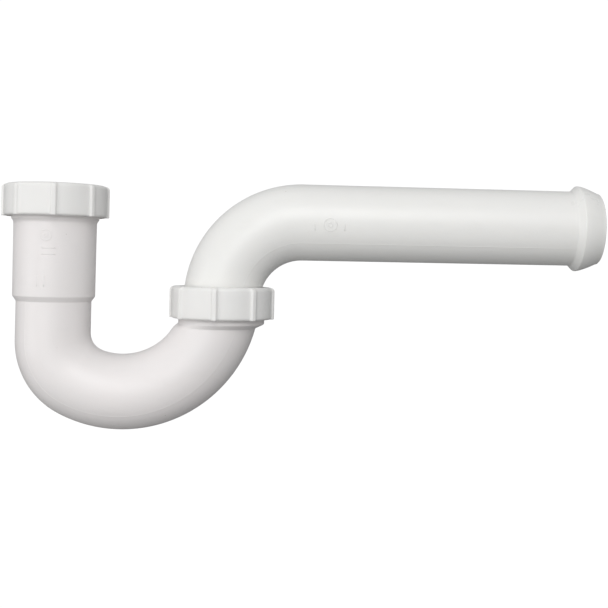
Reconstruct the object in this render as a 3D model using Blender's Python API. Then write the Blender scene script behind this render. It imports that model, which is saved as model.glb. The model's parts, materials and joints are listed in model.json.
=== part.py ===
"""P-trap for a 38.1 mm (1 1/2 in) tubular drain: J-bend, trap arm, two slip nuts and two washers.

Frame: +Z is up and the origin is the centre of the J-bend's inlet mouth. The trap lies in the XZ
plane, and the trap arm runs towards +X. Every piece is one closed solid, skinned over rows of points:
a row goes once round the piece, and the rows run down its outside and back along its inside.
"""
import math

import bmesh
import bpy
from mathutils import Vector

MM = 0.001
INCH = 0.0254
TURN = 2 * math.pi

# Tube
TUBE_R = 0.75 * INCH
WALL = 2.55 * MM
BORE_R = TUBE_R - WALL
CLEARANCE = 0.3 * MM
TUBE_SIDES = 32
WELD = 0.02 * MM

# Rows of points round the bends. The last rows of a bend tip over from square to level.
TIGHT_BEND_STEPS = 5
WIDE_BEND_STEPS = 8
LAST_SQUARE_TURN = math.radians(136)
LEVELLING_SHARES = (0.4, 0.75, 1.0)
ELBOW_STEPS = 10
ELBOW_FIRST_SQUARE_TURN = math.radians(-22.5)
ELBOW_LEVELLING_SHARES = (1.0, 0.5)

# J-bend: hub axis at X = 0, outlet axis at X = OUTLET_X
OUTLET_X = 84.9 * MM
HUB_TOP_R = 20.6 * MM
HUB_FOOT_R = 20.45 * MM
HUB_FOOT_Z = -51.2 * MM
HUB_SHOULDER = 2.6 * MM
SOCKET_R = 19.3 * MM
SOCKET_FLOOR_Z = -48.0 * MM
TIGHT_BEND_R = 22.6 * MM
TIGHT_BEND_Z = -73.3 * MM
WIDE_BEND_R = 50.0 * MM
BEND_START_R = 18.65 * MM
BEND_FINISH_R = 19.35 * MM

# Slip-joint thread, 11 1/2 turns to the inch, on both mouths of the J-bend and in both nuts. It starts
# just above the foot of its tightened nut, and a plain collar carries on below it.
PITCH = INCH / 11.5
THREAD_TURNS_SPARE = 3
THREAD_ROOT_R = 22.65 * MM
THREAD_CREST_R = 23.75 * MM
CREST_HALF = 0.225 * MM
FLANK_SLOPE = math.tan(math.radians(30))
THREAD_PLAY = 0.4 * MM
NUT_MAJOR_R = THREAD_CREST_R + THREAD_PLAY
NUT_MINOR_R = THREAD_ROOT_R + THREAD_PLAY
RUN_OUT = 1.0 * MM
THREAD_START = 1.0 * MM
COLLAR_R = 21.7 * MM
COLLAR_TOP = THREAD_START - (THREAD_ROOT_R - COLLAR_R)
COLLAR_DROP = 12.5 * MM
COLLAR_CHAMFER = 1.5 * MM
RIM_CHAMFER = 0.5 * MM
MOUTH_BEVEL_R = 21.5 * MM
MOUTH_BEVEL_DEPTH = 4.0 * MM

# Nuts
NUT_HEIGHT = 16.1 * MM
NUT_BODY_R = 25.5 * MM
NUT_LUG_R = 26.65 * MM
NUT_LUGS = 8
INLET_LUG_PHASE = math.radians(10.5)
UNION_LUG_PHASE = math.radians(-4)
LUG_TOP_HALF = 0.9 * MM
LUG_FOOT_HALF = 1.5 * MM
NUT_HOLE_R = 21.2 * MM
NUT_FLANGE = 2.4 * MM
NUT_TOP_ROUND = 2.0 * MM
NUT_ROUND_STEPS = 2
POINTS_BETWEEN_LUGS = 2
NUT_EDGE = 0.4 * MM
NUT_THREAD_TOP = 9.6 * MM
NUT_THREAD_LOW = 0.8 * MM
INLET_NUT_Z = -11.3 * MM
UNION_NUT_Z = -60.7 * MM

# Outlet of the J-bend and lower end of the trap arm
OUTLET_RIM_Z = -52.2 * MM
OUTLET_COLLAR = 11.1 * MM
OUTLET_CHAMFER = 2.1 * MM
NOSE_CREST_R = 21.55 * MM
NOSE_LIP_R = 17.9 * MM
NOSE_LENGTH = 11.0 * MM
NOSE_CONE = 10.3 * MM
NOSE_BULGE = 1.35
NOSE_CREST_FLAT = 0.5 * MM
NOSE_STEPS = 3
NOSE_EDGE = 0.3 * MM
SEAT_GAP = 0.35 * MM

# Trap arm
ELBOW_R = 40.2 * MM
ELBOW_Z = -51.5 * MM
ARM_END_X = 274.2 * MM
ARM_START_R = 19.28 * MM
ARM_FINISH_R = 18.82 * MM

# Washers
WASHER_R = 22.7 * MM
INLET_WASHER_HOLE_R = 19.2 * MM
UNION_WASHER_HOLE_R = 20.3 * MM
WASHER_BEVEL_TIP = 0.7 * MM

# Finish: colour and roughness
WHITE = (0.86, 0.86, 0.85, 1.0)
OFF_WHITE = (0.82, 0.82, 0.79, 1.0)
TUBE_ROUGHNESS = 0.27
NUT_ROUGHNESS = 0.3
WASHER_ROUGHNESS = 0.5
SHARP_EDGE = math.radians(30)

Y_AXIS = Vector((0, 1, 0))
RIGHT = Vector((1, 0, 0))
LEFT = Vector((-1, 0, 0))


def point(x, z):
    """A point in the plane of the trap."""
    return Vector((x, 0, z))


def even_angles(sides):
    """Angles of a row's points. The last repeats the first, and both are welded."""
    return [TURN * i / sides for i in range(sides + 1)]


def nut_angles(phase):
    """Angles of a nut's points: four across each lug, the rest between lugs. The first lug is at phase."""
    sector = TURN / NUT_LUGS
    foot = LUG_FOOT_HALF / NUT_BODY_R
    top = LUG_TOP_HALF / NUT_LUG_R
    gap = (sector - 2 * foot) / (POINTS_BETWEEN_LUGS + 1)
    angles = []
    for lug in range(NUT_LUGS):
        centre = phase + lug * sector
        between = [foot + gap * (i + 1) for i in range(POINTS_BETWEEN_LUGS)]
        for offset in [-foot, -top, top, foot] + between:
            angles.append(centre + offset)
    angles.append(angles[0] + TURN)
    return angles


def ring(centre, toward, radius, angles):
    """A row round centre, in the plane of Y and the toward direction."""
    return [centre + toward * (radius * math.cos(a)) + Y_AXIS * (radius * math.sin(a)) for a in angles]


def upright(x, profile, angles, toward=RIGHT):
    """Rows round a vertical axis at x, one for each (radius, z) of the profile."""
    return [ring(point(x, z), toward, radius, angles) for radius, z in profile]


def thread(x, low, high, base_r, ridge_r, foot, tip, shift, angles, toward=RIGHT):
    """Rows of a right-hand thread from low up to high: one ridge a pitch, fading out at both ends."""
    rows = []
    first = math.floor(low / PITCH) - THREAD_TURNS_SPARE
    last = math.ceil(high / PITCH) + THREAD_TURNS_SPARE
    for turn in range(first, last):
        for offset, raised in ((-foot, 0), (-tip, 1), (tip, 1), (foot, 0)):
            row = []
            for a in angles:
                azimuth = a if toward is RIGHT else math.pi - a
                z = PITCH * (turn + azimuth / TURN) + shift + offset
                z = min(max(z, low), high)
                fade = min(1, (z - low) / RUN_OUT, (high - z) / RUN_OUT)
                radius = base_r + (ridge_r - base_r) * raised * fade
                row.append(point(x, z) + toward * (radius * math.cos(a)) + Y_AXIS * (radius * math.sin(a)))
            rows.append(row)
    return rows


def male_thread(x, low, high, angles, toward=RIGHT):
    foot = CREST_HALF + (THREAD_CREST_R - THREAD_ROOT_R) * FLANK_SLOPE
    return thread(x, low, high, THREAD_ROOT_R, THREAD_CREST_R, foot, CREST_HALF, 0, angles, toward)


def female_thread(x, low, high, angles):
    """The nut's thread: its ridges run midway between those of the male thread, clear of their flanks."""
    axial_gap = CLEARANCE * math.sqrt(1 + FLANK_SLOPE ** 2)
    tip = PITCH / 2 - CREST_HALF - (THREAD_CREST_R - NUT_MINOR_R) * FLANK_SLOPE - axial_gap
    foot = tip + (NUT_MAJOR_R - NUT_MINOR_R) * FLANK_SLOPE
    return thread(x, low, high, NUT_MAJOR_R, NUT_MINOR_R, foot, tip, PITCH / 2, angles)


def solid(name, rows, colour, roughness):
    """Skins the rows into one closed body: each row joins the next, and the last joins the first."""
    mesh = bmesh.new()
    grid = [[mesh.verts.new(p) for p in row] for row in rows]
    for here, after in zip(grid, grid[1:] + grid[:1]):
        for i in range(len(here) - 1):
            mesh.faces.new((here[i], here[i + 1], after[i + 1], after[i]))
    bmesh.ops.remove_doubles(mesh, verts=mesh.verts, dist=WELD)
    bmesh.ops.triangulate(mesh, faces=mesh.faces)
    bmesh.ops.recalc_face_normals(mesh, faces=mesh.faces)
    return finish(name, mesh, colour, roughness)


def finish(name, mesh, colour, roughness):
    """Turns the mesh into a named object with its own material."""
    data = bpy.data.meshes.new(name)
    mesh.to_mesh(data)
    mesh.free()
    data.shade_smooth()
    data.set_sharp_from_angle(angle=SHARP_EDGE)
    material = bpy.data.materials.new(name + "_plastic")
    material.use_nodes = True
    shader = material.node_tree.nodes["Principled BSDF"]
    shader.inputs["Base Color"].default_value = colour
    shader.inputs["Roughness"].default_value = roughness
    shader.inputs["Metallic"].default_value = 0.0
    data.materials.append(material)
    piece = bpy.data.objects.new(name, data)
    bpy.context.scene.collection.objects.link(piece)
    return piece


def place_on_axis(piece, origin):
    """Moves the piece's origin onto its joint's axis and leaves its shape where it is."""
    for vertex in piece.data.vertices:
        vertex.co -= origin
    piece.location = origin


def wide_bend_centre():
    """Centre of the wide bend, which is tangent to the tight bend and ends upright under the outlet."""
    across = OUTLET_X - WIDE_BEND_R - TIGHT_BEND_R
    up = math.sqrt((WIDE_BEND_R - TIGHT_BEND_R) ** 2 - across ** 2)
    return point(OUTLET_X - WIDE_BEND_R, TIGHT_BEND_Z + up)


def bend_change_angle():
    """Angle turned by the tight bend, where the wide bend takes over."""
    across = OUTLET_X - WIDE_BEND_R - TIGHT_BEND_R
    return math.acos(across / (WIDE_BEND_R - TIGHT_BEND_R))


def bend_ring(centre, bend_r, tube_r, turned, angles):
    """A row square to the bend's line, where it has turned by that angle from straight down."""
    toward = Vector((math.cos(turned), 0, math.sin(turned)))
    return ring(centre - toward * bend_r, toward, tube_r, angles)


def row_towards_level(centre, bend_r, tube_r, level, rising, start, share, angles):
    """A row on a bend, part of the way from the square row at start to a level cut through the tube."""
    row = []
    for a in angles:
        reach = bend_r - tube_r * math.cos(a)
        level_turn = math.asin((centre.z - level) / reach)
        if rising:
            level_turn = math.pi - level_turn
        turned = start + (level_turn - start) * share
        toward = Vector((math.cos(turned), 0, math.sin(turned)))
        row.append(centre - toward * reach + Y_AXIS * (tube_r * math.sin(a)))
    return row


def bend_rows(depth, level, angles):
    """Rows down the inlet leg, round both bends and up to a level cut under the outlet.

    The rows lie depth inside the J-bend's outer surface, which widens steadily from inlet to outlet.
    """
    change = bend_change_angle()
    tight = point(TIGHT_BEND_R, TIGHT_BEND_Z)
    wide = wide_bend_centre()

    def tube_r(turned):
        return BEND_START_R + (BEND_FINISH_R - BEND_START_R) * turned / math.pi - depth

    rows = []
    for i in range(TIGHT_BEND_STEPS):
        turned = change * i / TIGHT_BEND_STEPS
        rows.append(bend_ring(tight, TIGHT_BEND_R, tube_r(turned), turned, angles))
    for i in range(WIDE_BEND_STEPS + 1):
        turned = change + (LAST_SQUARE_TURN - change) * i / WIDE_BEND_STEPS
        rows.append(bend_ring(wide, WIDE_BEND_R, tube_r(turned), turned, angles))
    start = LAST_SQUARE_TURN
    for share in LEVELLING_SHARES:
        radius = tube_r(start + (math.pi - start) * share)
        rows.append(row_towards_level(wide, WIDE_BEND_R, radius, level, True, start, share, angles))
    return rows


def nose_profile():
    """(distance from the crest, radius) down the nose: a slightly convex cone, then a short straight lip."""
    profile = []
    for i in range(NOSE_STEPS + 1):
        share = i / NOSE_STEPS
        radius = NOSE_LIP_R + (NOSE_CREST_R - NOSE_LIP_R) * (1 - share ** NOSE_BULGE)
        profile.append((NOSE_CREST_FLAT + share * (NOSE_CONE - NOSE_CREST_FLAT), radius))
    profile.append((NOSE_LENGTH - NOSE_EDGE, NOSE_LIP_R))
    profile.append((NOSE_LENGTH, NOSE_LIP_R - NOSE_EDGE))
    return profile


def make_j_bend():
    angles = even_angles(TUBE_SIDES)
    collar_foot = OUTLET_RIM_Z - OUTLET_COLLAR
    rows = upright(0, [(THREAD_ROOT_R - RIM_CHAMFER, 0), (THREAD_ROOT_R, -RIM_CHAMFER)], angles)
    rows += male_thread(0, INLET_NUT_Z + THREAD_START, -RIM_CHAMFER, angles)[::-1]
    rows += upright(0, [
        (COLLAR_R, INLET_NUT_Z + COLLAR_TOP),
        (COLLAR_R, -COLLAR_DROP),
        (HUB_TOP_R, -COLLAR_DROP - COLLAR_CHAMFER),
        (HUB_FOOT_R, HUB_FOOT_Z),
        (BEND_START_R, HUB_FOOT_Z - HUB_SHOULDER),
    ], angles)
    rows += bend_rows(0, collar_foot - OUTLET_CHAMFER, angles)
    collar = [(COLLAR_R, collar_foot), (COLLAR_R, UNION_NUT_Z + COLLAR_TOP)]
    rows += upright(OUTLET_X, collar, angles, LEFT)
    rows += male_thread(OUTLET_X, UNION_NUT_Z + THREAD_START, OUTLET_RIM_Z - RIM_CHAMFER, angles, LEFT)
    rows += upright(OUTLET_X, [(THREAD_ROOT_R - RIM_CHAMFER / 2, OUTLET_RIM_Z)], angles, LEFT)
    seat = []
    for along, radius in nose_profile():
        z = union_crest_z() - along - SEAT_GAP
        if z < OUTLET_RIM_Z:
            seat.append((radius + SEAT_GAP, z))
    rows += upright(OUTLET_X, [(seat[0][0] + CLEARANCE, OUTLET_RIM_Z)] + seat, angles, LEFT)
    rows += bend_rows(WALL, collar_foot - OUTLET_CHAMFER, angles)[::-1]
    rows += upright(0, [
        (BEND_START_R - WALL, SOCKET_FLOOR_Z),
        (SOCKET_R, SOCKET_FLOOR_Z),
        (SOCKET_R, -MOUTH_BEVEL_DEPTH),
        (MOUTH_BEVEL_R, 0),
    ], angles)
    return solid("j_bend", rows, WHITE, TUBE_ROUGHNESS)


def union_crest_z():
    """Height of the crest of the arm's lower shoulder, which rests just above the outlet's rim."""
    return OUTLET_RIM_Z + NOSE_CREST_FLAT + CLEARANCE


def make_trap_arm():
    angles = even_angles(TUBE_SIDES)
    crest_z = union_crest_z()
    chamfer = NOSE_CREST_R - ARM_START_R
    nose = nose_profile()
    rows = upright(OUTLET_X, [(radius, crest_z - along) for along, radius in reversed(nose)], angles)
    rows += upright(OUTLET_X, [(NOSE_CREST_R, crest_z)], angles)
    elbow = point(OUTLET_X + ELBOW_R, ELBOW_Z)
    arm_z = ELBOW_Z + ELBOW_R
    quarter = TURN / 4
    start = ELBOW_FIRST_SQUARE_TURN
    level = crest_z + chamfer
    for share in ELBOW_LEVELLING_SHARES:
        rows.append(row_towards_level(elbow, ELBOW_R, ARM_START_R, level, False, start, share, angles))
    for i in range(ELBOW_STEPS + 1):
        turned = start + (-quarter - start) * i / ELBOW_STEPS
        rows.append(bend_ring(elbow, ELBOW_R, ARM_START_R, turned, angles))
    down = Vector((0, 0, -1))
    crest_x = ARM_END_X - NOSE_LENGTH
    wall_end = [(crest_x - (NOSE_CREST_R - ARM_FINISH_R), ARM_FINISH_R), (crest_x, NOSE_CREST_R)]
    wall_end += [(crest_x + along, radius) for along, radius in nose]
    rows += [ring(point(x, arm_z), down, radius, angles) for x, radius in wall_end]
    rows.append(ring(point(ARM_END_X, arm_z), down, BORE_R, angles))
    for i in range(ELBOW_STEPS + 1):
        turned = -quarter * (ELBOW_STEPS - i) / ELBOW_STEPS
        rows.append(bend_ring(elbow, ELBOW_R, BORE_R, turned, angles))
    rows += upright(OUTLET_X, [(BORE_R, crest_z - NOSE_LENGTH)], angles)
    return solid("trap_arm", rows, WHITE, TUBE_ROUGHNESS)


def make_nut(name, x, foot_z, phase):
    """A slip nut with upright lugs, standing on foot_z round the vertical axis at x."""
    angles = nut_angles(phase)
    lug_reach = NUT_LUG_R - NUT_BODY_R
    sector = TURN / NUT_LUGS
    top_half = LUG_TOP_HALF / NUT_LUG_R
    foot_half = LUG_FOOT_HALF / NUT_BODY_R

    def outline(radius, z, lug_share):
        row = []
        for a in angles:
            from_lug = abs((a - phase + sector / 2) % sector - sector / 2)
            on_lug = from_lug < (top_half + foot_half) / 2
            reach = radius + (lug_reach * lug_share if on_lug else 0)
            row.append(Vector((x + reach * math.cos(a), reach * math.sin(a), foot_z + z)))
        return row

    top = NUT_HEIGHT
    rows = [outline(NUT_BODY_R - NUT_EDGE, 0, 1), outline(NUT_BODY_R, NUT_EDGE, 1)]
    for i in range(NUT_ROUND_STEPS + 1):
        rise = TURN / 4 * i / NUT_ROUND_STEPS
        inward = NUT_TOP_ROUND * (1 - math.cos(rise))
        height = top - NUT_TOP_ROUND * (1 - math.sin(rise))
        rows.append(outline(NUT_BODY_R - inward, height, math.cos(rise)))
    rows += upright(x, [
        (NUT_HOLE_R + NUT_EDGE, foot_z + top),
        (NUT_HOLE_R, foot_z + top - NUT_EDGE),
        (NUT_HOLE_R, foot_z + top - NUT_FLANGE),
        (NUT_MAJOR_R, foot_z + top - NUT_FLANGE),
    ], angles)
    rows += female_thread(x, foot_z + NUT_THREAD_LOW, foot_z + NUT_THREAD_TOP, angles)[::-1]
    rows += upright(x, [(NUT_MAJOR_R + NUT_EDGE, foot_z)], angles)
    return solid(name, rows, WHITE, NUT_ROUGHNESS)


def make_inlet_washer():
    """Bevelled slip-joint washer: a flat collar on the hub's rim and a cone down into its mouth."""
    top = INLET_NUT_Z + NUT_HEIGHT - NUT_FLANGE - CLEARANCE
    slope = (MOUTH_BEVEL_R - SOCKET_R) / MOUTH_BEVEL_DEPTH
    tip_r = INLET_WASHER_HOLE_R + WASHER_BEVEL_TIP
    bevel_r = MOUTH_BEVEL_R - 2 * CLEARANCE
    tip_z = -(bevel_r - tip_r) / slope
    profile = [
        (INLET_WASHER_HOLE_R, top),
        (WASHER_R, top),
        (WASHER_R, CLEARANCE),
        (bevel_r, CLEARANCE),
        (tip_r, tip_z),
        (INLET_WASHER_HOLE_R, tip_z),
    ]
    rows = upright(0, profile, even_angles(TUBE_SIDES))
    return solid("inlet_washer", rows, OFF_WHITE, WASHER_ROUGHNESS)


def make_union_washer():
    """Bevelled ring on the back of the arm's shoulder, between it and the union nut's flange."""
    top = UNION_NUT_Z + NUT_HEIGHT - NUT_FLANGE - CLEARANCE
    lift = CLEARANCE * math.sqrt(2)
    skirt_r = NOSE_CREST_R + CLEARANCE
    profile = [
        (UNION_WASHER_HOLE_R, top),
        (WASHER_R, top),
        (WASHER_R, OUTLET_RIM_Z + CLEARANCE),
        (skirt_r, OUTLET_RIM_Z + CLEARANCE),
        (skirt_r, union_crest_z() + lift - CLEARANCE),
        (UNION_WASHER_HOLE_R, union_crest_z() + lift + NOSE_CREST_R - UNION_WASHER_HOLE_R),
    ]
    rows = upright(OUTLET_X, profile, even_angles(TUBE_SIDES))
    return solid("union_washer", rows, OFF_WHITE, WASHER_ROUGHNESS)


def main():
    for old in list(bpy.data.objects):
        bpy.data.objects.remove(old)
    outlet_axis = point(OUTLET_X, UNION_NUT_Z)
    inlet_axis = point(0, INLET_NUT_Z)
    make_j_bend()
    place_on_axis(make_trap_arm(), outlet_axis)
    place_on_axis(make_nut("inlet_nut", 0, INLET_NUT_Z, INLET_LUG_PHASE), inlet_axis)
    place_on_axis(make_nut("union_nut", OUTLET_X, UNION_NUT_Z, UNION_LUG_PHASE), outlet_axis)
    place_on_axis(make_inlet_washer(), inlet_axis)
    place_on_axis(make_union_washer(), outlet_axis)


main()
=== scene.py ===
"""Looks of the P-trap: smooth moulded shells, nuts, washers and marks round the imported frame.

Lengths are in metres and the frame is the CAD's: the hub stands on the Z axis with its mouth at the
origin, and the trap arm runs towards +X. Shells are skinned over rows of points, as rings that close
round the piece.
"""
import json
import math

import bmesh
import bpy
from mathutils import Matrix, Vector


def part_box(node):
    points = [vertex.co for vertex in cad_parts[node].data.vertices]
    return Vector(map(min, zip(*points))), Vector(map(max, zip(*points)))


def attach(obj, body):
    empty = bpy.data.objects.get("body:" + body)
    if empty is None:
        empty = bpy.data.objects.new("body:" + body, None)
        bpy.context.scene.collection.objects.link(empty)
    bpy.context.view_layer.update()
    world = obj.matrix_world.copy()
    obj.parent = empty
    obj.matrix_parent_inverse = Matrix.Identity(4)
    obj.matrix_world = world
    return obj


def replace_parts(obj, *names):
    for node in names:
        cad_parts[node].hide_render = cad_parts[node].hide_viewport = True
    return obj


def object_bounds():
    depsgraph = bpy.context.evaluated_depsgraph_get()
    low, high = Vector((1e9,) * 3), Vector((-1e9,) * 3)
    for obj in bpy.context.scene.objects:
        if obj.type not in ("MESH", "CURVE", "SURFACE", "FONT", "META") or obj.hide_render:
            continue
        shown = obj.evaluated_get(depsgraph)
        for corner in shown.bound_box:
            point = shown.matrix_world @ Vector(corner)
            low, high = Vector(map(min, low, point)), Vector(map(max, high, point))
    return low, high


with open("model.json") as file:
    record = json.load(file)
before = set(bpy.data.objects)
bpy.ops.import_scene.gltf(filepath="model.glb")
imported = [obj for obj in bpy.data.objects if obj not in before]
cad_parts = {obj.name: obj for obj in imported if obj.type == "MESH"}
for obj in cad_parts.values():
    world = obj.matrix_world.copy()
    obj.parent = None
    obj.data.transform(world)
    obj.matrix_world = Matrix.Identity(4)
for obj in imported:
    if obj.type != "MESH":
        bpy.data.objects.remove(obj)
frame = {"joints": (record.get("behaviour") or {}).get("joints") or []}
cad_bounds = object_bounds()

MM = 0.001
TURN = 2 * math.pi
Y_AXIS = Vector((0, 1, 0))
RIGHT = Vector((1, 0, 0))
LEFT = Vector((-1, 0, 0))
DOWN = Vector((0, 0, -1))

# Places taken from the frame
UNION_HINGE = next(j for j in frame["joints"] if j["name"] == "union_nut_turn")
OUTLET_X = UNION_HINGE["pos_m"][0]
INLET_NUT_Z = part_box("inlet_nut")[0].z
UNION_NUT_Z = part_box("union_nut")[0].z
ARM_END_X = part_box("trap_arm")[1].x

# J-bend
HUB_TOP_R = 20.6 * MM
HUB_FOOT_R = 20.45 * MM
HUB_FOOT_Z = -51.2 * MM
HUB_SHOULDER = 2.6 * MM
SOCKET_R = 19.3 * MM
SOCKET_FLOOR_Z = -48.0 * MM
MOUTH_BEVEL_R = 21.5 * MM
MOUTH_BEVEL_DEPTH = 4.0 * MM
TIGHT_BEND_R = 22.6 * MM
TIGHT_BEND_Z = -73.3 * MM
WIDE_BEND_R = 50.0 * MM
BEND_START_R = 18.65 * MM
BEND_FINISH_R = 19.35 * MM
WALL = 2.55 * MM
BORE_R = 16.5 * MM
THROAT_R = 9.0 * MM
COLLAR_R = 21.7 * MM
COLLAR_DROP = 12.5 * MM
COLLAR_CHAMFER = 1.5 * MM
RIM_CHAMFER = 0.5 * MM
OUTLET_RIM_Z = -52.2 * MM
OUTLET_COLLAR = 11.1 * MM
OUTLET_CHAMFER = 2.1 * MM
COLLAR_ROUND = 0.7 * MM
CHAMFER_ROUND = 0.5 * MM
LAST_SQUARE_TURN = math.radians(136)

# Slip-joint thread
PITCH = 25.4 / 11.5 * MM
THREAD_START = 1.0 * MM
THREAD_ROOT_R = 22.65 * MM
COLLAR_TOP = THREAD_START - (THREAD_ROOT_R - COLLAR_R)
THREAD_CREST_R = 23.75 * MM
THREAD_PLAY = 0.4 * MM
NUT_MAJOR_R = THREAD_CREST_R + THREAD_PLAY
NUT_MINOR_R = THREAD_ROOT_R + THREAD_PLAY
CREST_HALF = 0.225 * MM
FLANK_SLOPE = math.tan(math.radians(30))
CLEARANCE = 0.3 * MM
RUN_OUT = 1.0 * MM
THREAD_TURNS_SPARE = 2
THREAD_EASE = 0.07 * MM

# Trap arm
ELBOW_R = 40.2 * MM
ELBOW_Z = -51.5 * MM
ARM_Z = ELBOW_Z + ELBOW_R
ARM_START_R = 19.28 * MM
ARM_FINISH_R = 18.82 * MM
NOSE_CREST_R = 21.55 * MM
NOSE_LIP_R = 17.9 * MM
NOSE_LENGTH = 11.0 * MM
NOSE_CONE = 10.3 * MM
NOSE_CREST_FLAT = 0.5 * MM
NOSE_BULGE = 1.35
LIP_EDGE = 0.3 * MM
SEAT_GAP = 0.35 * MM
UNION_CREST_Z = OUTLET_RIM_Z + NOSE_CREST_FLAT + CLEARANCE

# Nuts
NUT_HEIGHT = 16.1 * MM
NUT_BODY_R = 25.5 * MM
NUT_LUG_R = 26.65 * MM
NUT_LUGS = 8
LUG_TOP_HALF = 0.8 * MM
LUG_FOOT_HALF = 2.0 * MM
LUG_TOP_FADE = 0.7
NUT_EDGE = 0.3 * MM
NUT_HOLE_R = 21.2 * MM
NUT_FLANGE = 2.4 * MM
NUT_TOP_ROUND = 2.0 * MM
NUT_FOOT_ROUND = 1.3 * MM
NUT_THREAD_TOP = 9.6 * MM
NUT_THREAD_LOW = 0.8 * MM
INLET_LUG_PHASE = math.radians(10.5)
UNION_LUG_PHASE = math.radians(-4)

# Washers
WASHER_R = 22.7 * MM
INLET_WASHER_HOLE_R = 19.2 * MM
UNION_WASHER_HOLE_R = 20.3 * MM

# Moulding marks
PARTING_TURN = math.radians(34)
PARTING_HEIGHT = 0.09 * MM
PARTING_HALF = 0.3 * MM
MARK_WIDTH = 0.55 * MM
MARK_HEIGHT = 0.14 * MM
MARK_SUNK = 0.25 * MM

# Mesh steps
TUBE_SIDES = 144
ARC_STEPS = 5
LEG_STEPS = 12
TIGHT_BEND_STEPS = 24
WIDE_BEND_STEPS = 36
LEVEL_STEPS = 10
NOSE_STEPS = 10
ELBOW_STEPS = 36
STRAIGHT_STEPS = 12
NUT_FOOT_STEPS = 6
NUT_SIDE_STEPS = 6
NUT_TOP_STEPS = 10
MARK_SIDES = 40
MARK_BAR_STEPS = 6
MARK_ARC_STEPS = 8
WELD = 0.004 * MM


def point(x, z):
    """A point in the plane of the trap."""
    return Vector((x, 0, z))


def smooth(share):
    """Eases a share of the way from 0 to 1."""
    share = min(max(share, 0.0), 1.0)
    return share * share * (3 - 2 * share)


def tube_angles(lines):
    """Even angles round a tube, with more points across each moulding line. The last repeats the first."""
    angles = {round(TURN * i / TUBE_SIDES, 6) for i in range(TUBE_SIDES)}
    half = PARTING_HALF / BEND_START_R
    for line in lines:
        line %= TURN
        angles = {a for a in angles if abs(a - line) > 1.6 * half}
        angles |= {round((line + half * k / 2) % TURN, 6) for k in (-3, -2, -1, 0, 1, 2, 3)}
    angles = sorted(angles)
    return angles + [angles[0] + TURN]


def ridge(angle, line, radius):
    """Height share of a moulding line at line, for a point at angle."""
    away = abs((angle - line + math.pi) % TURN - math.pi) * radius
    return 1 - smooth(away / PARTING_HALF)


def ring(centre, toward, radius, angles, radial=None):
    """A row round centre, in the plane of Y and the toward direction. radial(angle) adds to the radius."""
    row = []
    for a in angles:
        reach = radius + (radial(a) if radial else 0)
        row.append(centre + toward * (reach * math.cos(a)) + Y_AXIS * (reach * math.sin(a)))
    return row


def rounded(profile):
    """Replaces the corners of a (radius, z, fillet) profile by arcs, and returns its (radius, z) points."""
    points = []
    for i, (r, z, fillet) in enumerate(profile):
        if not fillet or i in (0, len(profile) - 1):
            points.append((r, z))
            continue
        here = Vector((r, z))
        before = Vector(profile[i - 1][:2]) - here
        after = Vector(profile[i + 1][:2]) - here
        half = before.angle(after) / 2
        reach = min(fillet / math.tan(half), 0.49 * before.length, 0.49 * after.length)
        start = here + before.normalized() * reach
        end = here + after.normalized() * reach
        for k in range(ARC_STEPS + 1):
            t = k / ARC_STEPS
            p = start.lerp(here, t).lerp(here.lerp(end, t), t)
            points.append((p.x, p.y))
    return points


def upright(x, profile, angles, toward=RIGHT, radial=None):
    """Rows round a vertical axis at x, one for each (radius, z) of the profile."""
    return [ring(point(x, z), toward, r, angles, radial) for r, z in profile]


def thread(x, low, high, base_r, ridge_r, foot, tip, shift, angles, toward=RIGHT):
    """Rows of a right-hand thread from low up to high, with eased crests, fading into base_r at both ends."""
    ease = THREAD_EASE
    profile = [
        (-foot - ease, 0), (-foot + ease, 0.12), (-tip - ease, 0.88), (-tip + ease, 1),
        (tip - ease, 1), (tip + ease, 0.88), (foot - ease, 0.12), (foot + ease, 0),
    ]
    rows = []
    first = math.floor(low / PITCH) - THREAD_TURNS_SPARE
    last = math.ceil(high / PITCH) + THREAD_TURNS_SPARE
    for turn in range(first, last):
        for offset, raised in profile:
            row = []
            for a in angles:
                azimuth = a if toward is RIGHT else math.pi - a
                z = PITCH * (turn + azimuth / TURN) + shift + offset
                z = min(max(z, low), high)
                fade = smooth(min((z - low) / RUN_OUT, (high - z) / RUN_OUT))
                r = base_r + (ridge_r - base_r) * raised * fade
                row.append(point(x, z) + toward * (r * math.cos(a)) + Y_AXIS * (r * math.sin(a)))
            rows.append(row)
    return rows


def male_thread(x, low, high, angles, toward=RIGHT):
    foot = CREST_HALF + (THREAD_CREST_R - THREAD_ROOT_R) * FLANK_SLOPE
    return thread(x, low, high, THREAD_ROOT_R, THREAD_CREST_R, foot, CREST_HALF, 0, angles, toward)


def female_thread(x, low, high, angles):
    axial_gap = CLEARANCE * math.sqrt(1 + FLANK_SLOPE ** 2)
    tip = PITCH / 2 - CREST_HALF - (THREAD_CREST_R - NUT_MINOR_R) * FLANK_SLOPE - axial_gap
    foot = tip + (NUT_MAJOR_R - NUT_MINOR_R) * FLANK_SLOPE
    return thread(x, low, high, NUT_MAJOR_R, NUT_MINOR_R, foot, tip, PITCH / 2, angles)


def skin(name, rows, body, material):
    """Skins rows into one closed smooth piece that rides on body."""
    mesh = bmesh.new()
    grid = [[mesh.verts.new(p) for p in row] for row in rows]
    for here, after in zip(grid, grid[1:] + grid[:1]):
        for i in range(len(here) - 1):
            mesh.faces.new((here[i], here[i + 1], after[i + 1], after[i]))
    bmesh.ops.remove_doubles(mesh, verts=mesh.verts, dist=WELD)
    bmesh.ops.recalc_face_normals(mesh, faces=mesh.faces)
    return finish_piece(name, mesh, body, material)


def finish_piece(name, mesh, body, material):
    data = bpy.data.meshes.new(name)
    mesh.to_mesh(data)
    mesh.free()
    data.shade_smooth()
    data.materials.append(material)
    piece = bpy.data.objects.new(name, data)
    bpy.context.scene.collection.objects.link(piece)
    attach(piece, body)
    return piece


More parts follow.
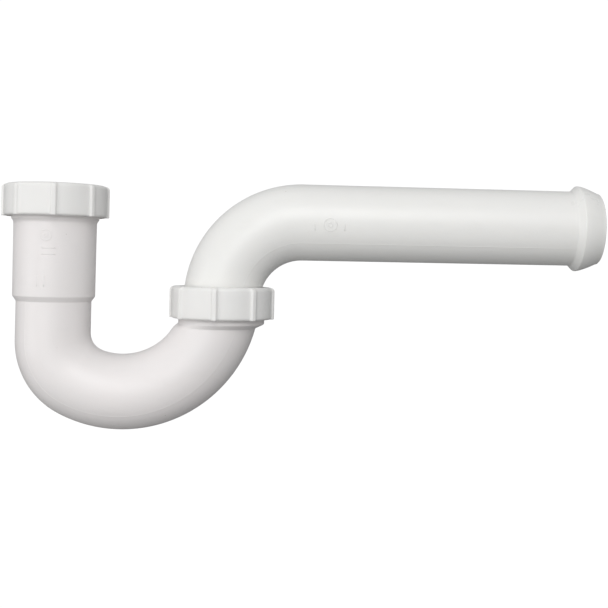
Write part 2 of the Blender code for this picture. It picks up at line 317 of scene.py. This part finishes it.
# ---------------------------------------------------------------- materials

class Nodes:
    """A few short calls for building a material's nodes."""

    def __init__(self, name):
        self.material = bpy.data.materials.new(name)
        self.material.use_nodes = True
        self.tree = self.material.node_tree
        self.shader = self.tree.nodes["Principled BSDF"]

    def add(self, kind, inputs=(), **settings):
        node = self.tree.nodes.new(kind)
        for key, value in settings.items():
            setattr(node, key, value)
        for key, value in dict(inputs).items():
            if isinstance(value, bpy.types.NodeSocket):
                self.tree.links.new(value, node.inputs[key])
            else:
                node.inputs[key].default_value = value
        return node

    def noise(self, coords, scale, detail=3.0, roughness=0.5):
        inputs = {"Vector": coords, "Scale": scale, "Detail": detail, "Roughness": roughness}
        return self.add("ShaderNodeTexNoise", inputs).outputs["Fac"]

    def ramp(self, value, low, high, to_low=0.0, to_high=1.0):
        inputs = {"Value": value, "From Min": low, "From Max": high, "To Min": to_low, "To Max": to_high}
        return self.add("ShaderNodeMapRange", inputs).outputs["Result"]

    def math(self, operation, a, b):
        return self.add("ShaderNodeMath", {0: a, 1: b}, operation=operation).outputs[0]

    def mix(self, factor, a, b):
        inputs = {"Factor": factor, "A": a, "B": b}
        node = self.tree.nodes.new("ShaderNodeMix")
        node.data_type = "RGBA"
        sockets = {s.name: s for s in node.inputs if s.enabled}
        for key, value in inputs.items():
            if isinstance(value, bpy.types.NodeSocket):
                self.tree.links.new(value, sockets[key])
            else:
                sockets[key].default_value = value
        return next(s for s in node.outputs if s.enabled)

    def link(self, output, socket):
        self.tree.links.new(output, self.shader.inputs[socket])


def plastic(name, colour, tint, shift, rough_low, rough_high, grain):
    """Moulded white plastic: cloudy tone, flow lines, rare dark specks, rubbed patches, fine skin texture."""
    n = Nodes(name)
    place = n.add("ShaderNodeTexCoord").outputs["Object"]
    place = n.add("ShaderNodeVectorMath", {0: place, 1: shift}, operation="ADD").outputs[0]
    cloud = n.noise(place, 28.0, 2.0)
    flow_place = n.add("ShaderNodeMapping", {"Vector": place, "Scale": (0.35, 1.0, 1.0)}).outputs[0]
    flow = n.noise(flow_place, 140.0, 4.0, 0.6)
    tone = n.mix(n.ramp(cloud, 0.35, 0.68), colour, tint)
    dull = tuple(c * 0.965 for c in colour[:3]) + (1,)
    tone = n.mix(n.ramp(flow, 0.56, 0.78, 0.0, 0.5), tone, dull)
    cells = n.add("ShaderNodeTexVoronoi", {"Vector": place, "Scale": 115.0, "Randomness": 1.0})
    speck_size = n.ramp(n.noise(place, 61.0, 1.0), 0.5, 0.72, 0.0, 0.055)
    speck = n.math("LESS_THAN", cells.outputs["Distance"], speck_size)
    tone = n.mix(n.math("MULTIPLY", speck, 0.55), tone, (0.42, 0.37, 0.33, 1))
    n.link(tone, "Base Color")
    rubbed = n.noise(place, 46.0, 5.0, 0.65)
    n.link(n.ramp(rubbed, 0.3, 0.7, rough_low, rough_high), "Roughness")
    skin_texture = n.noise(place, 950.0, 2.0)
    scuff_place = n.add("ShaderNodeMapping", {"Vector": place, "Scale": (1.0, 1.0, 0.12)}).outputs[0]
    scuff = n.ramp(n.noise(scuff_place, 420.0, 3.0, 0.7), 0.62, 0.75)
    height = n.math("SUBTRACT", skin_texture, n.math("MULTIPLY", scuff, 0.5))
    bump = n.add("ShaderNodeBump", {"Height": height, "Strength": grain, "Distance": 0.05 * MM})
    n.link(bump.outputs["Normal"], "Normal")
    n.shader.inputs["IOR"].default_value = 1.49
    n.shader.inputs["Specular IOR Level"].default_value = 0.4
    n.shader.inputs["Subsurface Weight"].default_value = 0.12
    n.shader.inputs["Subsurface Radius"].default_value = (1.0, 0.95, 0.9)
    n.shader.inputs["Subsurface Scale"].default_value = 1.2 * MM
    return n.material


# ---------------------------------------------------------------- J-bend

def wide_bend_centre():
    across = OUTLET_X - WIDE_BEND_R - TIGHT_BEND_R
    up = math.sqrt((WIDE_BEND_R - TIGHT_BEND_R) ** 2 - across ** 2)
    return point(OUTLET_X - WIDE_BEND_R, TIGHT_BEND_Z + up)


def bend_change_angle():
    across = OUTLET_X - WIDE_BEND_R - TIGHT_BEND_R
    return math.acos(across / (WIDE_BEND_R - TIGHT_BEND_R))


def throat_centre():
    """Centre of the fillet in the throat, tangent to the inlet leg and to the inside of the wide bend."""
    wide = wide_bend_centre()
    inside_r = WIDE_BEND_R - (BEND_START_R + BEND_FINISH_R) / 2
    x = BEND_START_R + THROAT_R
    return point(x, wide.z - math.sqrt((inside_r - THROAT_R) ** 2 - (x - wide.x) ** 2))


def throat_gain(surface, toward):
    """How far the fillet stands out of a tube's innermost point, along toward. It is 0 past its ends."""
    centre = throat_centre()
    to_point = surface - centre
    along = to_point.dot(toward)
    across_sq = to_point.length_squared - along ** 2
    if across_sq >= THROAT_R ** 2 or along >= 0:
        return 0.0
    gain = -math.sqrt(THROAT_R ** 2 - across_sq) - along
    met = surface + toward * gain - centre
    past_wide_end = centre - wide_bend_centre()
    angle = math.atan2(met.z, met.x) % TURN
    last_angle = math.atan2(past_wide_end.z, past_wide_end.x) % TURN
    return max(gain, 0.0) if math.pi <= angle <= last_angle else 0.0


def bend_parting(angle, radius):
    """Height of the J-bend's two parting lines at an angle round the tube."""
    lines = (math.pi / 2 + PARTING_TURN, -math.pi / 2 - PARTING_TURN)
    return PARTING_HEIGHT * sum(ridge(angle, line, radius) for line in lines)


def bend_section(centre, toward, radius, angles, outside):
    """A row of the bend. Outside, it carries the parting lines and the throat's fillet."""
    if not outside:
        return ring(centre, toward, radius, angles)
    gain = throat_gain(centre + toward * radius, toward)

    row = ring(centre, toward, radius, angles, lambda a: bend_parting(a, radius))
    return [p + toward * (gain * max(math.cos(a), 0) ** 2) for p, a in zip(row, angles)]


def row_towards_level(centre, bend_r, tube_r, level, rising, start, share, angles, radial=None):
    """A row part of the way from the square row at start to a level cut through the tube."""
    row = []
    for a in angles:
        r = tube_r + (radial(a) if radial else 0)
        reach = bend_r - r * math.cos(a)
        level_turn = math.asin((centre.z - level) / reach)
        if rising:
            level_turn = math.pi - level_turn
        turned = start + (level_turn - start) * share
        toward = Vector((math.cos(turned), 0, math.sin(turned)))
        row.append(centre - toward * reach + Y_AXIS * (r * math.sin(a)))
    return row


def bend_rows(depth, level, angles):
    """Rows down the inlet leg and round both bends, up to a level cut under the outlet."""
    change = bend_change_angle()
    tight = point(TIGHT_BEND_R, TIGHT_BEND_Z)
    wide = wide_bend_centre()
    outside = depth == 0

    def tube_r(turned):
        return BEND_START_R + (BEND_FINISH_R - BEND_START_R) * turned / math.pi - depth

    rows = []
    leg_top = HUB_FOOT_Z - HUB_SHOULDER
    for i in range(1, LEG_STEPS):
        z = leg_top + (TIGHT_BEND_Z - leg_top) * i / LEG_STEPS
        rows.append(bend_section(point(0, z), RIGHT, tube_r(0), angles, outside))
    for centre, bend_r, start, end, steps in (
        (tight, TIGHT_BEND_R, 0, change, TIGHT_BEND_STEPS),
        (wide, WIDE_BEND_R, change, LAST_SQUARE_TURN, WIDE_BEND_STEPS),
    ):
        for i in range(steps if centre is tight else steps + 1):
            turned = start + (end - start) * i / steps
            toward = Vector((math.cos(turned), 0, math.sin(turned)))
            rows.append(bend_section(centre - toward * bend_r, toward, tube_r(turned), angles, outside))

    def radial(a):
        return bend_parting(a, BEND_FINISH_R) if outside else 0

    for i in range(1, LEVEL_STEPS + 1):
        share = i / LEVEL_STEPS
        radius = tube_r(LAST_SQUARE_TURN + (math.pi - LAST_SQUARE_TURN) * share)
        rows.append(row_towards_level(
            wide, WIDE_BEND_R, radius, level, True, LAST_SQUARE_TURN, share, angles, radial))
    return rows


def nose_profile():
    """(distance from the crest, radius) down the nose: a slightly convex cone, then a straight lip."""
    profile = []
    for i in range(NOSE_STEPS + 1):
        share = i / NOSE_STEPS
        radius = NOSE_LIP_R + (NOSE_CREST_R - NOSE_LIP_R) * (1 - share ** NOSE_BULGE)
        profile.append((NOSE_CREST_FLAT + share * (NOSE_CONE - NOSE_CREST_FLAT), radius))
    return profile


def ease_corner(rows, index, amount):
    """Replaces a row by three that round its corner off."""
    before, here, after = rows[index - 1], rows[index], rows[index + 1]
    eased = []
    for t in (0.0, 0.25, 0.5, 0.75, 1.0):
        row = []
        for p, q, r in zip(before, here, after):
            start = q + (p - q) * min(amount / max((p - q).length, amount), 0.49)
            end = q + (r - q) * min(amount / max((r - q).length, amount), 0.49)
            row.append(start.lerp(q, t).lerp(q.lerp(end, t), t))
        eased.append(row)
    return rows[:index] + eased + rows[index + 1:]


def make_j_bend(material):
    lines = (math.pi / 2 + PARTING_TURN, -math.pi / 2 - PARTING_TURN)
    angles = tube_angles(lines)
    collar_foot = OUTLET_RIM_Z - OUTLET_COLLAR
    rows = upright(0, [(THREAD_ROOT_R - RIM_CHAMFER, 0), (THREAD_ROOT_R, -RIM_CHAMFER)], angles)
    rows += male_thread(0, INLET_NUT_Z + THREAD_START, -RIM_CHAMFER, angles)[::-1]
    rows += upright(0, rounded([
        (COLLAR_R, INLET_NUT_Z + COLLAR_TOP, 0),
        (COLLAR_R, -COLLAR_DROP, 0.8 * MM),
        (HUB_TOP_R, -COLLAR_DROP - COLLAR_CHAMFER, 2.4 * MM),
        ((HUB_TOP_R + HUB_FOOT_R) / 2, HUB_FOOT_Z / 2, 0),
        (HUB_FOOT_R, HUB_FOOT_Z, 1.0 * MM),
        (BEND_START_R, HUB_FOOT_Z - HUB_SHOULDER, 0.5 * MM),
        (BEND_START_R, HUB_FOOT_Z - HUB_SHOULDER - 1.2 * MM, 0),
    ]), angles)
    rows += bend_rows(0, collar_foot - OUTLET_CHAMFER, angles)
    chamfer_foot = len(rows) - 1
    collar = [(COLLAR_R, collar_foot), (COLLAR_R, UNION_NUT_Z + COLLAR_TOP)]
    rows += upright(OUTLET_X, collar, angles, LEFT)
    rows = ease_corner(rows, chamfer_foot + 1, COLLAR_ROUND)
    rows = ease_corner(rows, chamfer_foot, CHAMFER_ROUND)
    rows += male_thread(OUTLET_X, UNION_NUT_Z + THREAD_START, OUTLET_RIM_Z - RIM_CHAMFER, angles, LEFT)
    rows += upright(OUTLET_X, [(THREAD_ROOT_R - RIM_CHAMFER / 2, OUTLET_RIM_Z)], angles, LEFT)
    seat = []
    for along, radius in nose_profile() + [(NOSE_LENGTH, NOSE_LIP_R - SEAT_GAP)]:
        z = UNION_CREST_Z - along - SEAT_GAP
        if z < OUTLET_RIM_Z:
            seat.append((radius + SEAT_GAP, z))
    rows += upright(OUTLET_X, [(seat[0][0] + CLEARANCE, OUTLET_RIM_Z)] + seat, angles, LEFT)
    rows += bend_rows(WALL, collar_foot - OUTLET_CHAMFER, angles)[::-1]
    rows += upright(0, rounded([
        (BEND_START_R - WALL, HUB_FOOT_Z - HUB_SHOULDER, 0),
        (BEND_START_R - WALL, SOCKET_FLOOR_Z, 0.4 * MM),
        (SOCKET_R, SOCKET_FLOOR_Z, 0.4 * MM),
        (SOCKET_R, -MOUTH_BEVEL_DEPTH, 0.5 * MM),
        (MOUTH_BEVEL_R, 0, 0),
    ]), angles)
    return skin("j_bend_moulding", rows, "j_bend", material)


def make_trap_arm(material):
    lines = (math.pi / 2 - PARTING_TURN, -math.pi / 2 + PARTING_TURN)
    angles = tube_angles(lines)

    def parting(radius):
        return lambda a: PARTING_HEIGHT * (ridge(a, lines[0], radius) + ridge(a, lines[1], radius))

    chamfer = NOSE_CREST_R - ARM_START_R
    nose = nose_profile() + [(NOSE_LENGTH - LIP_EDGE, NOSE_LIP_R), (NOSE_LENGTH, NOSE_LIP_R - LIP_EDGE)]
    rows = upright(OUTLET_X, [(r, UNION_CREST_Z - along) for along, r in reversed(nose)], angles)
    rows += upright(OUTLET_X, [(NOSE_CREST_R, UNION_CREST_Z)], angles)
    elbow = point(OUTLET_X + ELBOW_R, ELBOW_Z)
    first_square = -TURN / 16
    for i in range(LEVEL_STEPS):
        share = 1 - i / LEVEL_STEPS
        rows.append(row_towards_level(
            elbow, ELBOW_R, ARM_START_R, UNION_CREST_Z + chamfer, False, first_square, share, angles,
            parting(ARM_START_R)))
    for i in range(ELBOW_STEPS + 1):
        turned = first_square + (-TURN / 4 - first_square) * i / ELBOW_STEPS
        toward = Vector((math.cos(turned), 0, math.sin(turned)))
        rows.append(ring(elbow - toward * ELBOW_R, toward, ARM_START_R, angles, parting(ARM_START_R)))
    crest_x = ARM_END_X - NOSE_LENGTH
    shoulder_x = crest_x - (NOSE_CREST_R - ARM_FINISH_R)
    for i in range(1, STRAIGHT_STEPS):
        share = i / STRAIGHT_STEPS
        x = elbow.x + (shoulder_x - elbow.x) * share
        radius = ARM_START_R + (ARM_FINISH_R - ARM_START_R) * share
        rows.append(ring(point(x, ARM_Z), DOWN, radius, angles, parting(radius)))
    end = [(ARM_FINISH_R, shoulder_x - 3 * MM, 0), (ARM_FINISH_R, shoulder_x, 0.8 * MM),
           (NOSE_CREST_R, crest_x, 0.5 * MM), (NOSE_CREST_R, crest_x + NOSE_CREST_FLAT, 0.5 * MM)]
    end += [(r, crest_x + along, 0) for along, r in nose[1:]]
    rows += [ring(point(x, ARM_Z), DOWN, r, angles) for r, x in rounded(end)]
    rows.append(ring(point(ARM_END_X, ARM_Z), DOWN, BORE_R + LIP_EDGE, angles))
    rows.append(ring(point(ARM_END_X - LIP_EDGE, ARM_Z), DOWN, BORE_R, angles))
    rows.append(ring(point((ARM_END_X + elbow.x) / 2, ARM_Z), DOWN, BORE_R, angles))
    for i in range(ELBOW_STEPS + 1):
        turned = -TURN / 4 * (ELBOW_STEPS - i) / ELBOW_STEPS
        toward = Vector((math.cos(turned), 0, math.sin(turned)))
        rows.append(ring(elbow - toward * ELBOW_R, toward, BORE_R, angles))
    nose_foot = UNION_CREST_Z - NOSE_LENGTH
    rows += upright(OUTLET_X, [(BORE_R, nose_foot + LIP_EDGE), (BORE_R + LIP_EDGE, nose_foot)], angles)
    return skin("trap_arm_moulding", rows, "trap_arm", material)


# ---------------------------------------------------------------- nuts and washers

def lug_share(offset_mm):
    """Height share of a lug at a distance from its middle, in millimetres round the nut."""
    foot = LUG_FOOT_HALF / MM
    top = LUG_TOP_HALF / MM
    return 1 - smooth((abs(offset_mm) - top) / (foot - top))


def nut_angles(phase):
    sector = TURN / NUT_LUGS
    across = (-2.1, -1.7, -1.5, -1.3, -1.1, -0.95, -0.8, -0.4, 0, 0.4, 0.8, 0.95, 1.1, 1.3, 1.5, 1.7, 2.1)
    between = 9
    angles = []
    for lug in range(NUT_LUGS):
        centre = phase + lug * sector
        foot = across[-1] * MM / NUT_LUG_R
        gap = (sector - 2 * foot) / (between + 1)
        angles += [centre + d * MM / NUT_LUG_R for d in across]
        angles += [centre + foot + gap * (i + 1) for i in range(between)]
    return angles + [angles[0] + TURN]


def make_nut(name, node, x, foot_z, phase, material):
    angles = nut_angles(phase)
    sector = TURN / NUT_LUGS

    def outline(body_r, z, reach):
        row = []
        for a in angles:
            offset = ((a - phase + sector / 2) % sector - sector / 2) * NUT_LUG_R / MM
            r = body_r + (reach - body_r) * lug_share(offset)
            row.append(Vector((x + r * math.cos(a), r * math.sin(a), foot_z + z)))
        return row

    rows = [outline(NUT_BODY_R - NUT_FOOT_ROUND, 0, NUT_LUG_R - NUT_EDGE)]
    for i in range(1, NUT_FOOT_STEPS + 1):
        rise = TURN / 4 * i / NUT_FOOT_STEPS
        body_r = NUT_BODY_R - NUT_FOOT_ROUND * (1 - math.sin(rise))
        z = NUT_FOOT_ROUND * (1 - math.cos(rise))
        rows.append(outline(body_r, z, NUT_LUG_R - NUT_EDGE * (1 - smooth(z / NUT_EDGE))))
    top_z = NUT_HEIGHT - NUT_TOP_ROUND
    for i in range(1, NUT_SIDE_STEPS):
        z = NUT_FOOT_ROUND + (top_z - NUT_FOOT_ROUND) * i / NUT_SIDE_STEPS
        rows.append(outline(NUT_BODY_R, z, NUT_LUG_R))
    for i in range(NUT_TOP_STEPS + 1):
        rise = TURN / 4 * i / NUT_TOP_STEPS
        body_r = NUT_BODY_R - NUT_TOP_ROUND * (1 - math.cos(rise))
        reach = body_r + (NUT_LUG_R - NUT_BODY_R) * math.cos(rise) ** LUG_TOP_FADE
        rows.append(outline(body_r, top_z + NUT_TOP_ROUND * math.sin(rise), reach))
    rows += upright(x, rounded([
        (NUT_BODY_R - NUT_TOP_ROUND - NUT_EDGE, foot_z + NUT_HEIGHT, 0),
        (NUT_HOLE_R, foot_z + NUT_HEIGHT, 0.4 * MM),
        (NUT_HOLE_R, foot_z + NUT_HEIGHT - NUT_FLANGE, 0.2 * MM),
        (NUT_MAJOR_R, foot_z + NUT_HEIGHT - NUT_FLANGE, 0),
    ]), angles)
    rows += female_thread(x, foot_z + NUT_THREAD_LOW, foot_z + NUT_THREAD_TOP, angles)[::-1]
    rows += upright(x, [(NUT_MAJOR_R, foot_z + 0.4 * MM), (NUT_MAJOR_R + 0.4 * MM, foot_z)], angles)
    piece = skin(name, rows, node, material)
    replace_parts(piece, node)
    return piece


def make_washers(material):
    angles = [TURN * i / TUBE_SIDES for i in range(TUBE_SIDES + 1)]
    top = INLET_NUT_Z + NUT_HEIGHT - NUT_FLANGE - CLEARANCE
    slope = (MOUTH_BEVEL_R - SOCKET_R) / MOUTH_BEVEL_DEPTH
    tip_r = INLET_WASHER_HOLE_R + 0.7 * MM
    bevel_r = MOUTH_BEVEL_R - 2 * CLEARANCE
    tip_z = -(bevel_r - tip_r) / slope
    inlet = rounded([
        (INLET_WASHER_HOLE_R, top / 2, 0),
        (INLET_WASHER_HOLE_R, top, 0.3 * MM),
        (WASHER_R, top, 0.3 * MM),
        (WASHER_R, CLEARANCE, 0.2 * MM),
        (bevel_r, CLEARANCE, 0.1 * MM),
        (tip_r, tip_z, 0.15 * MM),
        (INLET_WASHER_HOLE_R, tip_z, 0.15 * MM),
        (INLET_WASHER_HOLE_R, tip_z / 2, 0),
    ])
    piece = skin("inlet_washer_ring", upright(0, inlet, angles), "inlet_washer", material)
    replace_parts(piece, "inlet_washer")
    top = UNION_NUT_Z + NUT_HEIGHT - NUT_FLANGE - CLEARANCE
    lift = CLEARANCE * math.sqrt(2)
    skirt_r = NOSE_CREST_R + CLEARANCE
    bevel_z = UNION_CREST_Z + lift + NOSE_CREST_R - UNION_WASHER_HOLE_R
    union = rounded([
        (UNION_WASHER_HOLE_R, (top + bevel_z) / 2, 0),
        (UNION_WASHER_HOLE_R, top, 0.2 * MM),
        (WASHER_R, top, 0.3 * MM),
        (WASHER_R, OUTLET_RIM_Z + CLEARANCE, 0.2 * MM),
        (skirt_r, OUTLET_RIM_Z + CLEARANCE, 0.1 * MM),
        (skirt_r, UNION_CREST_Z + lift - CLEARANCE, 0.1 * MM),
        (UNION_WASHER_HOLE_R, bevel_z, 0.1 * MM),
    ])
    rows = upright(OUTLET_X, union, angles)
    piece = skin("union_washer_ring", rows, "union_washer", material)
    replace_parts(piece, "union_washer")


# ---------------------------------------------------------------- generic moulded marks

def hub_surface(across, up):
    """Point and normal on the hub, across and up in metres from the mark's middle."""
    azimuth = math.radians(-90) + across / HUB_TOP_R
    normal = Vector((math.cos(azimuth), math.sin(azimuth), 0))
    radius = HUB_TOP_R + (HUB_FOOT_R - HUB_TOP_R) * up / HUB_FOOT_Z
    return normal * radius + Vector((0, 0, up)), normal


def arm_surface(along, up):
    """Point and normal on the straight arm's camera side."""
    angle = up / ARM_START_R
    normal = Vector((0, -math.cos(angle), math.sin(angle)))
    radius = ARM_START_R + (ARM_FINISH_R - ARM_START_R) * 0.1
    return Vector((along, 0, ARM_Z)) + normal * radius, normal


def bead(name, surface, path, closed, width, height, body, material):
    """A low rounded bead that follows path, a list of (u, v), over a surface, with its foot sunk in."""
    section = []
    for i in range(MARK_ARC_STEPS + 1):
        t = math.pi * i / MARK_ARC_STEPS
        section.append((-math.cos(t) * width / 2, math.sin(t) * height))
    section += [(width / 2, -MARK_SUNK), (-width / 2, -MARK_SUNK)]
    rows = []
    count = len(path)
    for i, (u, v) in enumerate(path):
        here, normal = surface(u, v)
        if closed or i + 1 < count:
            after = path[(i + 1) % count]
        else:
            after = (2 * u - path[i - 1][0], 2 * v - path[i - 1][1])
        step = surface(*after)[0] - here
        side = step.normalized().cross(normal).normalized()
        rows.append([here + side * s + normal * h for s, h in section])
    mesh = bmesh.new()
    grid = [[mesh.verts.new(p) for p in row] for row in rows]
    pairs = list(zip(grid, grid[1:]))
    if closed:
        pairs.append((grid[-1], grid[0]))
    for here, after in pairs:
        for i in range(len(here)):
            j = (i + 1) % len(here)
            mesh.faces.new((here[i], here[j], after[j], after[i]))
    if not closed:
        mesh.faces.new(grid[0][::-1])
        mesh.faces.new(grid[-1])
    bmesh.ops.recalc_face_normals(mesh, faces=mesh.faces)
    return finish_piece(name, mesh, body, material)


def make_marks(bend_material, arm_material):
    """Plain rings and bars where the mouldings carry small raised marks."""

    def circle(u, v, radius):
        angles = [TURN * i / MARK_SIDES for i in range(MARK_SIDES)]
        return [(u + radius * math.cos(a), v + radius * math.sin(a)) for a in angles]

    def bar(u, v, du, dv):
        shares = [i / MARK_BAR_STEPS for i in range(MARK_BAR_STEPS + 1)]
        return [(u + du * share, v + dv * share) for share in shares]

    beads = [
        ("hub_mark_ring", hub_surface, circle(0.2 * MM, -21.0 * MM, 2.7 * MM), True, "j_bend"),
        ("hub_mark_dot", hub_surface, circle(0.2 * MM, -21.0 * MM, 0.9 * MM), True, "j_bend"),
        ("hub_mark_bar_a", hub_surface, bar(-1.8 * MM, -27.2 * MM, 6.6 * MM, 0), False, "j_bend"),
        ("hub_mark_bar_b", hub_surface, bar(-1.8 * MM, -30.2 * MM, 6.6 * MM, 0), False, "j_bend"),
        ("hub_mark_bar_c", hub_surface, bar(-3.9 * MM, -46.0 * MM, 0, 5.2 * MM), False, "j_bend"),
        ("hub_mark_bar_d", hub_surface, bar(-0.4 * MM, -46.0 * MM, 0, 5.2 * MM), False, "j_bend"),
        ("arm_mark_ring", arm_surface, circle(138.5 * MM, -1.5 * MM, 3.2 * MM), True, "trap_arm"),
        ("arm_mark_dot", arm_surface, circle(138.5 * MM, -1.5 * MM, 1.0 * MM), True, "trap_arm"),
        ("arm_mark_bar_a", arm_surface, bar(131.0 * MM, -4.4 * MM, 0, 3.4 * MM), False, "trap_arm"),
        ("arm_mark_bar_b", arm_surface, bar(145.5 * MM, -4.4 * MM, 0, 3.4 * MM), False, "trap_arm"),
    ]
    for name, surface, path, closed, body in beads:
        on_bend = body == "j_bend"
        bead(name, surface, path, closed, MARK_WIDTH, MARK_HEIGHT, body,
             bend_material if on_bend else arm_material)


# ---------------------------------------------------------------- stage, light and camera

# Camera: turns in radians, lens and sensor in millimetres, and the frame's shift up in frame widths
CAMERA_AT = Vector((121.7, -523.6, -31.0)) * MM
CAMERA_PITCH = 0.0004
CAMERA_YAW = 0.0084
CAMERA_ROLL = 0.0226
CAMERA_SHIFT = -0.0693
LENS = 61.16
SENSOR = 36.0

# Lights: name, azimuth and elevation in degrees, power in watts
LIGHT_SIZE = 0.7
LIGHT_DISTANCE = 1.3
LIGHTS = (
    ("key_above", 0, 30, 6.6),
    ("front_left", -20, 5, 2.8),
    ("side_left", -60, 0, 2.9),
    ("side_right", 70, 0, 0.7),
)
WORLD_STRENGTH = 0.43
WHITE_STRENGTH = 1.05
FLOOR_Z = -0.44
FLOOR_HALF = 12.0


def make_camera():
    turn = (Matrix.Rotation(CAMERA_ROLL, 3, "Y") @ Matrix.Rotation(CAMERA_PITCH, 3, "X")
            @ Matrix.Rotation(CAMERA_YAW, 3, "Z"))
    right, forward, up = turn
    data = bpy.data.cameras.new("camera")
    data.lens = LENS
    data.sensor_width = SENSOR
    data.shift_y = CAMERA_SHIFT
    data.clip_start = 0.01
    camera = bpy.data.objects.new("camera", data)
    bpy.context.scene.collection.objects.link(camera)
    axes = Matrix((right, up, -forward)).transposed()
    camera.matrix_world = Matrix.Translation(CAMERA_AT) @ axes.to_4x4()
    bpy.context.scene.camera = camera


def area_light(name, target, azimuth, elevation, power):
    """A soft square light that faces target. Azimuth 0 is the camera's side, and it grows to the right."""
    data = bpy.data.lights.new(name, "AREA")
    data.size = LIGHT_SIZE
    data.energy = power
    light = bpy.data.objects.new(name, data)
    bpy.context.scene.collection.objects.link(light)
    level = Vector((math.sin(azimuth), -math.cos(azimuth), 0)) * math.cos(elevation)
    away = (level + Vector((0, 0, math.sin(elevation)))) * LIGHT_DISTANCE
    facing = (-away).to_track_quat("-Z", "Y").to_matrix().to_4x4()
    light.matrix_world = Matrix.Translation(target + away) @ facing
    light.visible_camera = False


def camera_white(tree, other):
    """Mixes a plain white that only the camera sees over another shader."""
    path = tree.nodes.new("ShaderNodeLightPath")
    on_world = other.bl_idname == "ShaderNodeBackground"
    white = tree.nodes.new("ShaderNodeBackground" if on_world else "ShaderNodeEmission")
    white.inputs["Strength"].default_value = WHITE_STRENGTH
    white.inputs["Color"].default_value = (1, 1, 1, 1)
    mix = tree.nodes.new("ShaderNodeMixShader")
    tree.links.new(path.outputs["Is Camera Ray"], mix.inputs[0])
    tree.links.new(other.outputs[0], mix.inputs[1])
    tree.links.new(white.outputs[0], mix.inputs[2])
    return mix


def make_stage():
    world = bpy.data.worlds.new("studio")
    bpy.context.scene.world = world
    world.use_nodes = True
    tree = world.node_tree
    soft = tree.nodes["Background"]
    soft.inputs["Color"].default_value = (0.98, 0.99, 1.0, 1)
    soft.inputs["Strength"].default_value = WORLD_STRENGTH
    mix = camera_white(tree, soft)
    tree.links.new(mix.outputs[0], tree.nodes["World Output"].inputs["Surface"])

    data = bpy.data.meshes.new("floor")
    corners = [(x * FLOOR_HALF, y * FLOOR_HALF, FLOOR_Z) for x, y in ((-1, -1), (1, -1), (1, 1), (-1, 1))]
    data.from_pydata(corners, [], [(0, 1, 2, 3)])
    floor = bpy.data.objects.new("floor", data)
    bpy.context.scene.collection.objects.link(floor)
    material = bpy.data.materials.new("floor_paper")
    material.use_nodes = True
    tree = material.node_tree
    paper = tree.nodes["Principled BSDF"]
    paper.inputs["Base Color"].default_value = (0.35, 0.35, 0.35, 1)
    paper.inputs["Roughness"].default_value = 0.9
    mix = camera_white(tree, paper)
    tree.links.new(mix.outputs[0], tree.nodes["Material Output"].inputs["Surface"])
    data.materials.append(material)

    low, high = cad_bounds
    middle = point((low[0] + high[0]) / 2, (low[2] + high[2]) / 2)
    for name, azimuth, elevation, power in LIGHTS:
        area_light(name, middle, math.radians(azimuth), math.radians(elevation), power)
    bpy.context.scene.view_settings.view_transform = "Standard"


bend_plastic = plastic(
    "bend_plastic", (0.86, 0.832, 0.823, 1), (0.873, 0.838, 0.829, 1), (3.1, 0.4, 1.7), 0.3, 0.42, 0.25)
arm_plastic = plastic(
    "arm_plastic", (0.873, 0.869, 0.844, 1), (0.882, 0.874, 0.854, 1), (0.6, 2.3, 4.9), 0.27, 0.4, 0.2)
nut_plastic = plastic(
    "nut_plastic", (0.858, 0.849, 0.829, 1), (0.868, 0.863, 0.849, 1), (5.2, 1.1, 0.3), 0.34, 0.46, 0.3)
washer_plastic = plastic(
    "washer_plastic", (0.8, 0.8, 0.76, 1), (0.78, 0.78, 0.75, 1), (2.7, 3.3, 0.8), 0.5, 0.6, 0.2)

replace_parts(make_j_bend(bend_plastic), "j_bend")
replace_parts(make_trap_arm(arm_plastic), "trap_arm")
make_nut("inlet_nut_moulding", "inlet_nut", 0, INLET_NUT_Z, INLET_LUG_PHASE, nut_plastic)
make_nut("union_nut_moulding", "union_nut", OUTLET_X, UNION_NUT_Z, UNION_LUG_PHASE, nut_plastic)
make_washers(washer_plastic)
make_marks(bend_plastic, arm_plastic)
make_stage()
make_camera()
